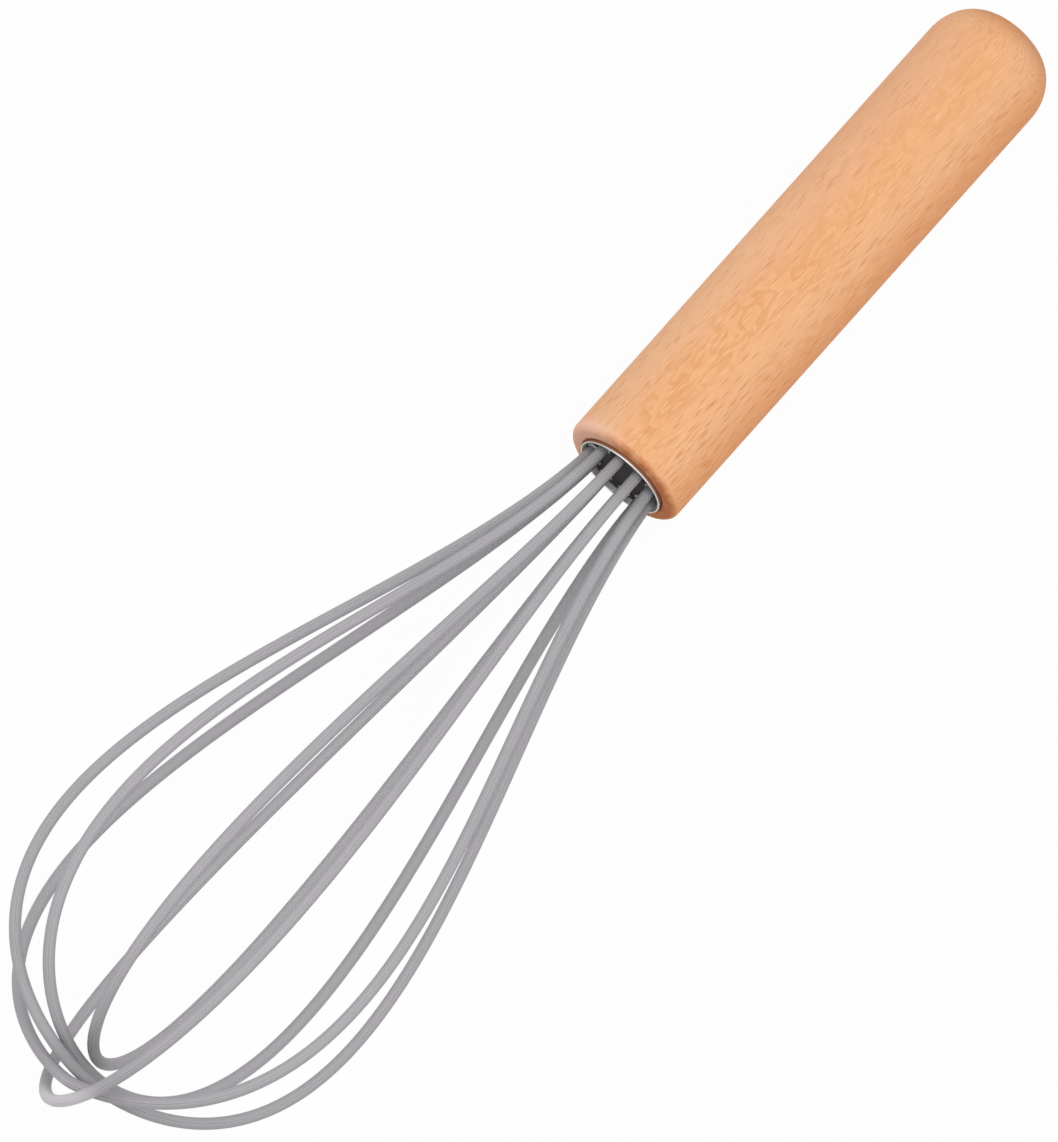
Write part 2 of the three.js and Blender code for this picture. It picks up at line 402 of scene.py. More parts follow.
@dataclass(frozen=True)
class Beech:
    """Oiled beech with a wandering band of ring figure, cut pores and redder end grain.

    Sides are millimetres from the whisk's axis, negative towards the picture's left, and heights are
    millimetres from the rim, negative towards the butt. A span is where something grows from nothing to
    its full share.

    Attributes:
        bore: Radius of the bore.
        pale: Colour of the plain wood.
        rosy: Colour of the pinker wood; leaning it towards the picture's left paints a sheen there.
        shaded_tint: Colour of the painted shade on the picture's right side, redder than the plain wood.
        figure: Colour of the band of ring figure.
        late: Colour of the late wood that outlines the rings.
        fleck: Colour of the pores.
        pale_fleck_and_sheen: Colour of the pale flecks, and of the painted sheen on the picture's left side.
        edge_highlight: Colour of the painted highlight on the mouth's edge at the picture's left.
        end: Colour of the end grain.
        joint: Colour of the painted shadow line on the wood's edge at the ferrule.
        grain_turn: Turn of the grain from the handle's axis in degrees.
        shaded_tint_side: Span of sides in which the painted shade turns the wood redder.
        painted_sheen_side: Span, on the negative sides, in which the painted sheen grows.
        painted_sheen_height: Span of heights in which the painted sheen shows more.
        band_side: Side of the middle of the band.
        band_wander: How far the middle wanders from side to side.
        band_fray: How far the band's edge frays.
        band_edge: Span from the middle in which the band ends.
        ring_count: Number of rings that the band's noise is cut into.
        ring_height: Span of heights in which the rings' outlines show more.
        fleck_size: Spacing of the flecks across and along the grain.
        fleck_edge: Span in which a fleck fades, in shares of that spacing.
        dense_side: Span of sides in which the flecks grow denser.
        dense_height: Span of heights in which they grow denser.
        dark_height: Span of heights in which the pores grow darker.
        end_facing: Span in which long grain turns into end grain, from 0 for a surface along the grain.
        mouth_height: Span of heights in which the mouth's edge starts.
        lit_mouth_side: Span, on the negative sides, in which the mouth's edge is lit: the painted highlight
            grows there, and the end grain's red and the painted shadow line fade.
        joint_width: Span outside the bore in which the painted shadow line ends.
    """

    bore: float
    pale: Colour = srgb(241, 184, 138)
    rosy: Colour = srgb(239, 181, 140)
    shaded_tint: Colour = srgb(246, 173, 121)
    figure: Colour = srgb(239, 179, 129)
    late: Colour = srgb(220, 156, 104)
    fleck: Colour = srgb(195, 102, 36)
    pale_fleck_and_sheen: Colour = srgb(250, 204, 164)
    edge_highlight: Colour = srgb(255, 210, 190)
    end: Colour = srgb(203, 124, 82)
    joint: Colour = srgb(140, 84, 58)
    grain_turn: float = 2.0
    shaded_tint_side: Span = (6.0, 12.5)
    painted_sheen_side: Span = (5.0, 10.0)
    painted_sheen_height: Span = (-85.0, -50.0)
    band_side: float = -1.0
    band_wander: float = 9.0
    band_fray: float = 4.0
    band_edge: Span = (1.0, 6.5)
    ring_count: float = 6.0
    ring_height: Span = (-75.0, -35.0)
    fleck_size: Point = (0.25, 5.5)
    fleck_edge: Span = (0.12, 0.4)
    dense_side: Span = (-4.0, 8.0)
    dense_height: Span = (-45.0, -5.0)
    dark_height: Span = (-90.0, -20.0)
    end_facing: Span = (0.25, 0.95)
    mouth_height: Span = (-6.0, -1.0)
    lit_mouth_side: Span = (2.0, 11.0)
    joint_width: Span = (0.1, 0.6)

    def material(self, axes: WhiskAxes) -> Material:
        """Makes the material.

        Args:
            axes: Axes of the whisk, with the grain along the tip direction.

        Returns:
            The material.
        """
        sheet = MaterialSheet("oiled_beech")
        spot = sheet.along_axes(axes)
        grain = sheet.swung(spot, self.grain_turn)
        side, _, height = sheet.split(spot)
        tone = sheet.noise(grain, (0.16, 0.16, 0.02))
        # Pinker clouds at random, leaning pinker towards the picture's left: that lean is painted sheen.
        colour = sheet.blend((tone - 0.02 * side).smooth(0.42, 0.72), self.pale, self.rosy)
        # Painted shade: the picture's right side, which lies in shade, turns redder.
        colour = sheet.blend(side.smooth(*self.shaded_tint_side), colour, self.shaded_tint)
        # Painted sheen: the picture's left side turns lighter, more so towards the mouth.
        painted_sheen = (0 - side).smooth(*self.painted_sheen_side) * (0.1 + 0.22 * height.smooth(*self.painted_sheen_height))
        colour = sheet.blend(painted_sheen, colour, self.pale_fleck_and_sheen)

        band, rings = self._figure(sheet, spot, side)
        colour = sheet.blend(0.7 * band, colour, self.figure)
        outlined = 0.06 + band * (0.28 + 0.22 * height.smooth(*self.ring_height))
        colour = sheet.blend(rings * outlined, colour, self.late)
        fibre = sheet.noise(grain, (3.2, 3.2, 0.24), detail=3.0)
        colour = sheet.blend(0.32 * fibre.smooth(0.45, 0.75), colour, self.late)

        facing = {0: sheet.socket("ShaderNodeTexCoord", output="Normal"), 1: axes.tip}
        lined = sheet.value("ShaderNodeVectorMath", {"operation": "DOT_PRODUCT"}, facing, "Value")
        end_grain = abs(lined).smooth(*self.end_facing)
        pores, pales = self._flecks(sheet, grain, side, height)
        pores = pores * (1 - end_grain) * (1 - 0.5 * band)
        colour = sheet.blend(0.65 * pales, colour, self.pale_fleck_and_sheen)
        colour = sheet.blend(pores * (0.6 + 0.12 * height.smooth(*self.dark_height)), colour, self.fleck)
        colour = self._ends(sheet, spot, end_grain, colour)
        return sheet.finish(
            Base_Color=colour,
            Roughness=0.52 + 0.1 * fibre + 0.1 * pores,
            Specular_IOR_Level=0.03,
            Normal=sheet.relief(fibre, 0.001),
        )

    def _figure(self, sheet: MaterialSheet, spot: Socket, side: Value) -> tuple[Value, Value]:
        """Band in which the rings are cut nearly flat, and the outlines that they leave.

        Args:
            sheet: Sheet of the material.
            spot: Place along the whisk's axes.
            side: Place across the handle.

        Returns:
            1 inside the band, and 1 on the rings' outlines.
        """
        wander = sheet.noise(spot, (0.02, 0.02, 0.05)) - 0.5
        fray = sheet.noise(spot, (0.45, 0.45, 0.16), detail=3.0) - 0.5
        offset = abs(side - self.band_side + self.band_wander * wander) + self.band_fray * fray
        field = sheet.noise(spot, (0.26, 0.26, 0.1), detail=2.5, distortion=0.5)
        phase = (self.ring_count * field).fraction()
        outline = phase.smooth(0.1, 0.9) * (1 - phase.smooth(0.9, 1.0))
        return 1 - offset.smooth(*self.band_edge), outline

    def _flecks(
        self,
        sheet: MaterialSheet,
        grain: Socket,
        side: Value,
        height: Value,
    ) -> tuple[Value, Value]:
        """Pores that the turning has cut open, denser towards one side and the mouth.

        Args:
            sheet: Sheet of the material.
            grain: Place along the grain.
            side: Place across the handle.
            height: Place along the handle.

        Returns:
            Dark flecks and pale flecks, 1 on a fleck.
        """
        sway = sheet.noise(grain, (0.12, 0.12, 0.04)) - 0.5
        density = 0.42 + 0.36 * side.smooth(*self.dense_side)
        density = density + 0.15 * height.smooth(*self.dense_height) + 0.8 * sway
        dark_size = (1.0, 1.0)
        pale_size = (0.9, 1.3)
        flecks = []
        for across, along in (dark_size, pale_size):
            scale = (across / self.fleck_size[0], across / self.fleck_size[0], along / self.fleck_size[1])
            distance, number = sheet.cells(grain, scale)
            flecks.append((1 - distance.smooth(*self.fleck_edge)) * (density - number).smooth(0.0, 0.2))
        return flecks[0], flecks[1]

    def _ends(self, sheet: MaterialSheet, spot: Socket, end_grain: Value, colour: Socket) -> Socket:
        """Reddens the end grain, paints a highlight on the mouth's edge at the picture's left, and paints a
        shadow line on the edge that the ferrule sits in.

        Args:
            sheet: Sheet of the material.
            spot: Place along the whisk's axes.
            end_grain: How squarely the grain is cut across.
            colour: Colour of the long grain.

        Returns:
            The colour with its ends.
        """
        side, _, height = sheet.split(spot)
        mouth = height.smooth(*self.mouth_height)
        # Lit side of the mouth's edge, where light is painted.
        plain = (0 - side).smooth(*self.lit_mouth_side)
        mottle = sheet.noise(spot, (0.5, 0.5, 0.5), detail=4.0).smooth(0.3, 0.65)
        share = (0.55 - mouth * (0.15 - 0.6 * mottle)) * (1 - 0.6 * mouth * plain)
        colour = sheet.blend(end_grain * share, colour, self.end)
        # Painted highlight on the mouth's edge at the picture's left.
        colour = sheet.blend(0.55 * plain * mouth * mouth, colour, self.edge_highlight)
        # Painted shadow line in the gap round the ferrule, fainter on the lit side.
        edge = (1 - (sheet.radius(spot) - self.bore).smooth(*self.joint_width)) * mouth
        return sheet.blend(edge * (0.8 - 0.3 * plain), colour, self.joint)


@dataclass(frozen=True)
class TurnedSteel:
    """Stainless steel with fine turning lines, satin inside, and brown where it meets the wood: a little
    dirt, with the wood's reflection and the joint's shadow painted in.

    Attributes:
        middle: Radius of the middle of the sheet in millimetres.
        bright: Colour of the metal.
        dull: Colour of its lines.
        satin: Colour of the blasted inside.
        joint: Colour painted low on the outside: the wood's reflection and the joint's shadow, with a little
            dirt.
        outside_edge: Span from the middle of the sheet in which the outside starts.
        joint_height: Span of heights from the rim in which that painted colour ends.
        satin_height: Span of heights in which the satin inside ends.
    """

    middle: float
    bright: Colour = srgb(224, 221, 219)
    dull: Colour = srgb(190, 187, 185)
    satin: Colour = srgb(236, 235, 237)
    joint: Colour = srgb(142, 92, 70)
    outside_edge: Span = (-0.05, 0.1)
    joint_height: Span = (-0.36, -0.16)
    satin_height: Span = (-0.25, -0.1)

    def material(self, axes: WhiskAxes) -> Material:
        """Makes the material.

        Args:
            axes: Axes of the whisk, which the lines go round.

        Returns:
            The material.
        """
        sheet = MaterialSheet("turned_steel")
        spot = sheet.along_axes(axes)
        lines = sheet.noise(spot, (0.1, 0.1, 9.0), detail=3.0)
        smudge = sheet.noise(spot, (0.35, 0.35, 0.35))
        height = sheet.split(spot)[2]
        outside = (sheet.radius(spot) - self.middle).smooth(*self.outside_edge)
        # Painted reflection of the wood and shadow of the joint, with a little dirt, low on the outside.
        painted_shade = outside * (1 - height.smooth(*self.joint_height))
        inside = (1 - outside) * (1 - height.smooth(*self.satin_height))
        colour = sheet.blend(lines.smooth(0.35, 0.7), self.bright, self.dull)
        colour = sheet.blend(inside, colour, self.satin)
        return sheet.finish(
            Base_Color=sheet.blend(painted_shade, colour, self.joint),
            Metallic=1 - (0.8 * painted_shade).larger(0.85 * inside),
            Roughness=0.36 + 0.12 * lines + 0.1 * smudge,
            Normal=sheet.relief(lines, 0.004),
        )


@dataclass(frozen=True)
class DarkResin:
    """Poured resin, dark and dusty, with painted pale highlights where it has crept up the legs.

    Attributes:
        deep: Main colour.
        dusty: Colour where dust lies.
        edge: Colour of the painted highlights.
        crept: Name of the mesh's number for how far the resin has crept up, 1 at a leg.
        crept_highlight: Span of that number in which the painted highlights start.
    """

    deep: Colour = srgb(62, 56, 59)
    dusty: Colour = srgb(84, 79, 81)
    edge: Colour = srgb(214, 211, 212)
    crept: str = "crept"
    crept_highlight: Span = (0.35, 0.6)

    def material(self, axes: WhiskAxes) -> Material:
        """Makes the material.

        Args:
            axes: Axes of the whisk.

        Returns:
            The material.
        """
        sheet = MaterialSheet("dark_resin")
        spot = sheet.along_axes(axes)
        ripple = sheet.noise(spot, (0.9, 0.9, 0.9))
        dust = sheet.noise(spot, (5.0, 5.0, 5.0), detail=4.0).smooth(0.55, 0.75)
        # Painted highlights: pale spots on the resin where it has crept up the legs.
        highlight_spots = sheet.noise(spot, (1.1, 1.1, 1.1)).smooth(0.43, 0.5)
        broken = sheet.attribute(self.crept).smooth(*self.crept_highlight) * highlight_spots
        colour = sheet.blend(dust, self.deep, self.dusty)
        return sheet.finish(
            Base_Color=sheet.blend(broken, colour, self.edge),
            Roughness=0.3 + 0.15 * dust,
            Specular_IOR_Level=0.01,
            Normal=sheet.relief(ripple, 0.04),
        )


@dataclass(frozen=True)
class GreySilicone:
    """Moulded silicone, satin, with a painted highlight and shade on its parting lines, painted shade at the
    plug and where the loops cross, and a rubbed tip.

    Heights are millimetres from the rim, and a span is where something grows from nothing to its full share.

    Attributes:
        grey: Main colour.
        rosy: Colour of the warmer places.
        dust: Colour of the dust, and of the painted highlight on the parting lines' crests.
        painted_shade: Colour of the painted shade.
        groove: Colour of the painted shade between the parting lines' crests.
        rubbed: Colour of the outermost loop's tip.
        cast_height: Span of heights in which the warmer places start.
        plug_shade_height: Span of heights in which the painted shade at the plug fades.
        rim_shadow_height: Span of heights in which its darker end, the rim's painted shadow, fades.
        crossing_radius: Span of distances from the axis in which the painted shade where the loops cross
            fades.
        crossing_height: Span of heights in which it starts.
        worn: Height beyond which the tip is rubbed pale.
        worn_painted_shade: Span from there in which the painted shade at the crossing ends.
        worn_edge: Span from there in which the tip turns pale.
        seam: Name of the mesh's number for the parting lines, 1 on a crest and -1 in the groove.
    """

    grey: Colour = srgb(170, 169, 172)
    rosy: Colour = srgb(173, 169, 174)
    dust: Colour = srgb(204, 203, 205)
    painted_shade: Colour = srgb(104, 103, 105)
    groove: Colour = srgb(128, 127, 129)
    rubbed: Colour = srgb(218, 214, 218)
    cast_height: Span = (4.0, 40.0)
    plug_shade_height: Span = (-1.0, 10.0)
    rim_shadow_height: Span = (0.1, 1.1)
    crossing_radius: Span = (2.0, 14.0)
    crossing_height: Span = (134.0, 144.0)
    worn: float = 154.5
    worn_painted_shade: Span = (-3.0, 2.0)
    worn_edge: Span = (0.0, 4.0)
    seam: str = "seam"

    def material(self, axes: WhiskAxes) -> Material:
        """Makes the material.

        Args:
            axes: Axes of the whisk.

        Returns:
            The material.
        """
        sheet = MaterialSheet("grey_silicone")
        spot = sheet.along_axes(axes)
        height = sheet.split(spot)[2]
        past_worn = height - self.worn
        cast = sheet.noise(spot, (0.12, 0.12, 0.05)).smooth(0.42, 0.62) * height.smooth(*self.cast_height)
        skin = sheet.noise(spot, (2.5, 2.5, 2.5))
        specks = sheet.noise(spot, (3.0, 3.0, 3.0), detail=4.0).smooth(0.62, 0.8)
        seam = sheet.attribute(self.seam)
        colour = sheet.blend(cast, self.grey, self.rosy)
        # Dust specks, and a painted highlight on the parting lines' crests.
        colour = sheet.blend((0.2 * specks).larger(0.5 * seam), colour, self.dust)
        # Painted shade between the crests.
        colour = sheet.blend(0.7 * (0 - seam).larger(0.0), colour, self.groove)
        # Painted shade near the plug, darkest in the rim's painted shadow, and painted contact shade where
        # the loops cross.
        foot = 0.5 * (1 - height.smooth(*self.plug_shade_height)) + 0.3 * (1 - height.smooth(*self.rim_shadow_height))
        crossing = 1 - sheet.radius(spot).smooth(*self.crossing_radius)
        crossing = crossing * height.smooth(*self.crossing_height) * (1 - past_worn.smooth(*self.worn_painted_shade))
        colour = sheet.blend(foot.larger(0.45 * crossing), colour, self.painted_shade)
        colour = sheet.blend(0.85 * past_worn.smooth(*self.worn_edge), colour, self.rubbed)
        return sheet.finish(
            Base_Color=colour,
            Roughness=0.5 + 0.1 * skin + 0.1 * specks,
            Specular_IOR_Level=0.3,
            Normal=sheet.relief(skin, 0.005),
        )


@dataclass(frozen=True)
class DrawnWire:
    """Spring steel wire with the fine marks that drawing leaves.

    Attributes:
        bright: Colour of the metal.
        dull: Colour of its marks.
    """

    bright: Colour = srgb(196, 195, 193)
    dull: Colour = srgb(150, 148, 146)

    def material(self, axes: WhiskAxes) -> Material:
        """Makes the material.

        Args:
            axes: Axes of the whisk, which the marks run along.

        Returns:
            The material.
        """
        sheet = MaterialSheet("drawn_wire")
        marks = sheet.noise(sheet.along_axes(axes), (8.0, 8.0, 0.3), detail=3.0)
        return sheet.finish(
            Base_Color=sheet.blend(marks.smooth(0.35, 0.7), self.bright, self.dull),
            Metallic=1.0,
            Roughness=0.25 + 0.2 * marks,
        )


def ease(mesh: Mesh, sharp: float) -> None:
    """Smooths a mesh's faces, with a corner where an edge's angle in degrees is above the sharp one."""
    mesh.polygons.foreach_set("use_smooth", [True] * len(mesh.polygons))
    mesh.set_sharp_from_angle(angle=math.radians(sharp))


def show(mesh: Mesh, sharp: float = 35.0) -> Piece:
    """Puts a mesh into the scene with smooth faces and sharp corners.

    Args:
        mesh: Mesh in the frame's metres.
        sharp: Angle in degrees above which an edge is a corner.

    Returns:
        The object, named as the mesh.
    """
    ease(mesh, sharp)
    piece = bpy.data.objects.new(mesh.name, mesh)
    bpy.context.scene.collection.objects.link(piece)
    return piece


def to_mesh(name: str, shape: Shape, axes: WhiskAxes) -> Mesh:
    """Ends a shape that was drawn in millimetres along the whisk's axes.

    Args:
        name: Name of the mesh.
        shape: The closed shape, which is freed.
        axes: Axes of the whisk.

    Returns:
        The mesh in the frame's metres, with its faces outwards.
    """
    bmesh.ops.transform(shape, matrix=axes.matrix(), verts=shape.verts)
    bmesh.ops.recalc_face_normals(shape, faces=shape.faces)
    mesh = bpy.data.meshes.new(name)
    shape.to_mesh(mesh)
    shape.free()
    return mesh


def turned(name: str, outline: Outline, segments: int, axes: WhiskAxes) -> Mesh:
    """Turns an outline about the whisk's axis.

    Args:
        name: Name of the mesh.
        outline: Points of radius and height in millimetres, whose first and last lie on the axis.
        segments: Number of steps round the axis.
        axes: Axes of the whisk.

    Returns:
        The closed mesh.
    """
    shape = bmesh.new()
    angles = [2 * math.pi * step / segments for step in range(segments)]
    poles = [shape.verts.new((0.0, 0.0, outline[end][1])) for end in (0, -1)]
    rings = [
        [shape.verts.new((radius * math.cos(a), radius * math.sin(a), height)) for a in angles]
        for radius, height in outline[1:-1]
    ]
    for here in range(segments):
        after = (here + 1) % segments
        shape.faces.new((poles[0], rings[0][after], rings[0][here]))
        shape.faces.new((poles[1], rings[-1][here], rings[-1][after]))
        for lower, upper in zip(rings, rings[1:]):
            shape.faces.new((lower[here], lower[after], upper[after], upper[here]))
    return to_mesh(name, shape, axes)


def dress(piece: Piece, finish: Material, slot: Slot, node: str) -> Piece:
    """Gives a piece its finish and sets it in the place of a node.

    Args:
        piece: The piece.
        finish: Its material.
        slot: Material slot of the record; not used.
        node: Node that it stands for.

    Returns:
        The piece.
    """
    if not piece.data.materials:
        piece.data.materials.append(finish)
    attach(piece, BODY)
    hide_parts(node)
    return piece


@dataclass
class Ferrule:
    """Drawn steel cup that is let into the handle, in millimetres.

    Attributes:
        diameter: Outside diameter.
        wall: Thickness of the sheet.
        length: Length from the rim to the outside of the floor.
        segments: Number of steps round it.
        wall_steps: Number of steps along its wall.
        lip_steps: Number of steps over its lip.
    """

    diameter: float = 18.5
    wall: float = 0.34
    length: float = 25.0
    segments: int = 160
    wall_steps: int = 16
    lip_steps: int = 12

    @property
    def radius(self) -> float:
        """Outside radius."""
        return self.diameter / 2

    @property
    def bore_radius(self) -> float:
        """Inside radius."""
        return self.radius - self.wall

    @property
    def middle_radius(self) -> float:
        """Radius of the middle of the sheet."""
        return self.radius - self.wall / 2

    def outline(self) -> Outline:
        """Outline of the cup's sheet.

        Returns:
            The points from the outside of the floor, over the lip, to the inside of the floor.
        """
        lip = self.wall / 2
        outer_corner = (self.radius, -self.length)
        inner_corner = (self.bore_radius, self.wall - self.length)
        rim = arc((self.radius - lip, -lip), (lip, lip), 0, 180, self.lip_steps)
        return [
            (0.0, -self.length),
            outer_corner,
            *straight(outer_corner, rim[0], self.wall_steps),
            *rim,
            *straight(rim[-1], inner_corner, self.wall_steps),
            inner_corner,
            (0.0, inner_corner[1]),
        ]

    def build(self, axes: WhiskAxes, finish: TurnedSteel) -> list[Piece]:
        """Builds the cup and dresses it in its finish."""
        cup = show(turned("steel_ferrule", self.outline(), self.segments, axes))
        return [dress(cup, finish.material(axes), Slot.FERRULE_STEEL, "ferrule")]


@dataclass
class Handle:
    """Turned handle with a domed butt, an eased mouth and a blind bore, in millimetres.

    Attributes:
        ferrule: Cup that the bore takes.
        length: Length from the mouth to the butt's flat.
        mouth_diameter: Diameter at the mouth.
        butt_diameter: Diameter where the dome starts.
        flat_diameter: Diameter of the flat that the dome runs out in.
        dome_length: Length of the dome.
        mouth_round: Radius of the mouth's edge.
        rim_proud: How far the ferrule's rim stands out of the mouth.
        bore_clearance: Gap round the ferrule.
        floor_gap: Gap behind the ferrule.
        bore_break: Width of the broken edge of the bore.
        segments: Number of steps round it.
        flat_steps: Number of steps across the flat.
        dome_steps: Number of steps over the dome.
        grip_steps: Number of steps along the grip.
        edge_steps: Number of steps over the mouth's edge.
        bore_steps: Number of steps down the bore.
    """

    ferrule: Ferrule
    length: float = 117.0
    mouth_diameter: float = 25.0
    butt_diameter: float = 25.6
    flat_diameter: float = 10.4
    dome_length: float = 9.5
    mouth_round: float = 1.5
    rim_proud: float = 0.75
    bore_clearance: float = 0.08
    floor_gap: float = 0.3
    bore_break: float = 0.15
    segments: int = 160
    flat_steps: int = 4
    dome_steps: int = 28
    grip_steps: int = 48
    edge_steps: int = 14
    bore_steps: int = 12

    @property
    def butt(self) -> float:
        """Height of the butt's flat."""
        return -self.rim_proud - self.length

    @property
    def bore_radius(self) -> float:
        """Radius of the bore."""
        return self.ferrule.radius + self.bore_clearance

    def outline(self) -> Outline:
        """Outline of the wood.

        Returns:
            The points from the middle of the butt, along the grip and over the mouth, to the bore's floor.
        """
        mouth = -self.rim_proud
        flat = self.flat_diameter / 2
        grip = self.butt_diameter / 2
        neck = self.mouth_diameter / 2
        bore = self.bore_radius
        floor = -self.ferrule.length - self.floor_gap
        dome_centre = (flat, self.butt + self.dome_length)
        dome = arc(dome_centre, (grip - flat, self.dome_length), -90, 0, self.dome_steps)
        edge_centre = (neck - self.mouth_round, mouth - self.mouth_round)
        edge = arc(edge_centre, (self.mouth_round,) * 2, 0, 90, self.edge_steps)
        throat = (bore, mouth - self.bore_break)
        return [
            (0.0, self.butt),
            *straight((0.0, self.butt), dome[0], self.flat_steps),
            *dome,
            *straight(dome[-1], edge[0], self.grip_steps),
            *edge,
            (bore + self.bore_break, mouth),
            throat,
            *straight(throat, (bore, floor), self.bore_steps),
            (bore, floor),
            (0.0, floor),
        ]

    def build(self, axes: WhiskAxes, finish: Beech) -> list[Piece]:
        """Builds the handle and dresses it in its finish."""
        grip = show(turned("beech_handle", self.outline(), self.segments, axes))
        return [dress(grip, finish.material(axes), Slot.BEECH, "handle")]


@dataclass(frozen=True)
class Loop:
    """One wire loop. Angles are in degrees, and lengths are shares of the innermost loop's reach.

    Attributes:
        name: Letter of the loop.
        layer: Reach beyond the innermost loop's in layer steps.
        azimuth: Angle of its first leg about the whisk's axis.
        lean: Lean of its plane about the line through its feet.
        flare: How far its legs splay as they leave the plug.
        exit: Length of that lead out of the plug.
        shoulder: How far short of the tip the bend is drawn out to the swell.
        swell: How far the bend is drawn out.
        skew: What one leg's swell has over the other's.
        tip: How far the bend at the tip is drawn out.
        seam_turn: Turn of the parting lines out of the loop's plane.
    """

    name: str
    layer: float
    azimuth: float
    lean: float
    flare: float
    exit: float
    shoulder: float
    swell: float
    skew: float
    tip: float
    seam_turn: float


LOOPS = (
    Loop(
        "c", layer=0, azimuth=108, lean=0.73, flare=1.6, exit=0.294,
        shoulder=0.226, swell=0.335, skew=-0.021, tip=0.173, seam_turn=-20,
    ),
    Loop(
        "e", layer=1, azimuth=144, lean=1.38, flare=2.3, exit=0.349,
        shoulder=0.207, swell=0.399, skew=0.031, tip=0.183, seam_turn=-50,
    ),
    Loop(
        "a", layer=2.1, azimuth=0, lean=0.66, flare=5.7, exit=0.417,
        shoulder=0.136, swell=0.459, skew=-0.029, tip=0.135, seam_turn=80,
    ),
    Loop(
        "b", layer=3.1, azimuth=36, lean=0.93, flare=5.2, exit=0.436,
        shoulder=0.093, swell=0.515, skew=0.02, tip=0.068, seam_turn=50,
    ),
    Loop(
        "d", layer=4.6, azimuth=72, lean=0.32, flare=0, exit=0.345,
        shoulder=0.246, swell=0.345, skew=0.049, tip=0.165, seam_turn=15,
    ),
)


class CoverTree(NodeSheet):
    """Geometry nodes that sweep a moulded cover with two parting lines along a wire's path."""

    def __init__(self) -> None:
        """Builds the tree with its named inputs."""
        super().__init__(bpy.data.node_groups.new("moulded_cover", "GeometryNodeTree"))
        kinds = {
            "Path": "NodeSocketGeometry",
            "Radius": "NodeSocketFloat",
            "Sides": "NodeSocketInt",
            "Plane normal": "NodeSocketVector",
            "Seam turn": "NodeSocketFloat",
            "Seam height": "NodeSocketFloat",
            "Seam half width": "NodeSocketFloat",
            "Seam name": "NodeSocketString",
            "Finish": "NodeSocketMaterial",
        }
        sockets = self.tree.interface
        self.keys = {}
        for name, kind in kinds.items():
            self.keys[name] = sockets.new_socket(name, in_out="INPUT", socket_type=kind).identifier
        sockets.new_socket("Cover", in_out="OUTPUT", socket_type="NodeSocketGeometry")
        given = self.node("NodeGroupInput").outputs
        path = self.socket("GeometryNodeMeshToCurve", inputs={"Mesh": given["Path"]})
        inputs = {"Curve": path, "Normal": given["Plane normal"]}
        path = self.socket("GeometryNodeSetCurveNormal", {"mode": "FREE"}, inputs)
        path = self.socket("GeometryNodeSetCurveTilt", inputs={"Curve": path, "Tilt": given["Seam turn"]})
        inputs = {"Curve": path, "Profile Curve": self._profile(given)}
        cover = self.socket("GeometryNodeCurveToMesh", inputs=inputs)
        cover = self.socket("GeometryNodeRealizeInstances", inputs={"Geometry": cover})
        inputs = {"Geometry": cover, "Material": given["Finish"]}
        cover = self.socket("GeometryNodeSetMaterial", inputs=inputs)
        self.node("NodeGroupOutput", inputs={"Cover": cover})

    def _profile(self, given: bpy.types.NodeOutputs) -> Socket:
        """Circle with a pair of fine ridges at either side.

        Args:
            given: Inputs of the tree.

        Returns:
            The profile curve, whose points carry 1 on a crest and -1 in the groove between two.
        """
        crest_fade = 0.4
        groove_fade = 0.6
        radius = Value(self, given["Radius"])
        inputs = {"Resolution": given["Sides"], "Radius": radius}
        circle = self.socket("GeometryNodeCurvePrimitiveCircle", {"mode": "RADIUS"}, inputs, "Curve")
        spot = self.socket("GeometryNodeInputPosition")
        aside = abs(self.value("ShaderNodeSeparateXYZ", inputs={0: spot}, output="X"))
        half = Value(self, given["Seam half width"])
        crest = 1 - abs(aside - half).smooth(0.0, crest_fade * half)
        groove = 1 - aside.smooth(0.0, groove_fade * half)
        settings = {"data_type": "FLOAT", "domain": "POINT"}
        inputs = {"Geometry": circle, "Name": given["Seam name"], "Value": crest - groove}
        circle = self.socket("GeometryNodeStoreNamedAttribute", settings, inputs)
        inputs = {0: spot, "Scale": 1 + crest * Value(self, given["Seam height"]) / radius}
        raised = self.socket("ShaderNodeVectorMath", {"operation": "SCALE"}, inputs)
        return self.socket("GeometryNodeSetPosition", inputs={"Geometry": circle, "Position": raised})

    def sweep(self, path: Piece, sizes: dict[str, Any]) -> Piece:
        """Puts the tree on an object.

        Args:
            path: Object whose mesh is a chain of edges.
            sizes: Values of the tree's inputs by name.

        Returns:
            The object, with the tree live on it.
        """
        modifier = path.modifiers.new("cover", "NODES")
        modifier.node_group = self.tree
        for name, value in sizes.items():
            modifier[self.keys[name]] = value
        return path


def settle(piece: Piece, sharp: float = 50.0) -> Piece:
    """Turns what an object's modifiers make into its plain mesh.

    Args:
        piece: Object with live modifiers.
        sharp: Angle in degrees above which an edge is a corner.

    Returns:
        The object, without modifiers.
    """
    evaluated = piece.evaluated_get(bpy.context.evaluated_depsgraph_get())
    mesh = bpy.data.meshes.new_from_object(evaluated)
    piece.modifiers.clear()
    path = piece.data
    piece.data = mesh
    bpy.data.meshes.remove(path)
    mesh.name = piece.name
    ease(mesh, sharp)
    return piece


def bezier(controls: list[Point], share: float) -> Point:
    """Finds a point on the curve that a row of control points spans.

    Args:
        controls: Control points.
        share: Place on the curve from 0 to 1.

    Returns:
        The point.
    """
    row = np.array(controls, dtype=float)
    while len(row) > 1:
        row = row[:-1] + (row[1:] - row[:-1]) * share
    return tuple(row[0])


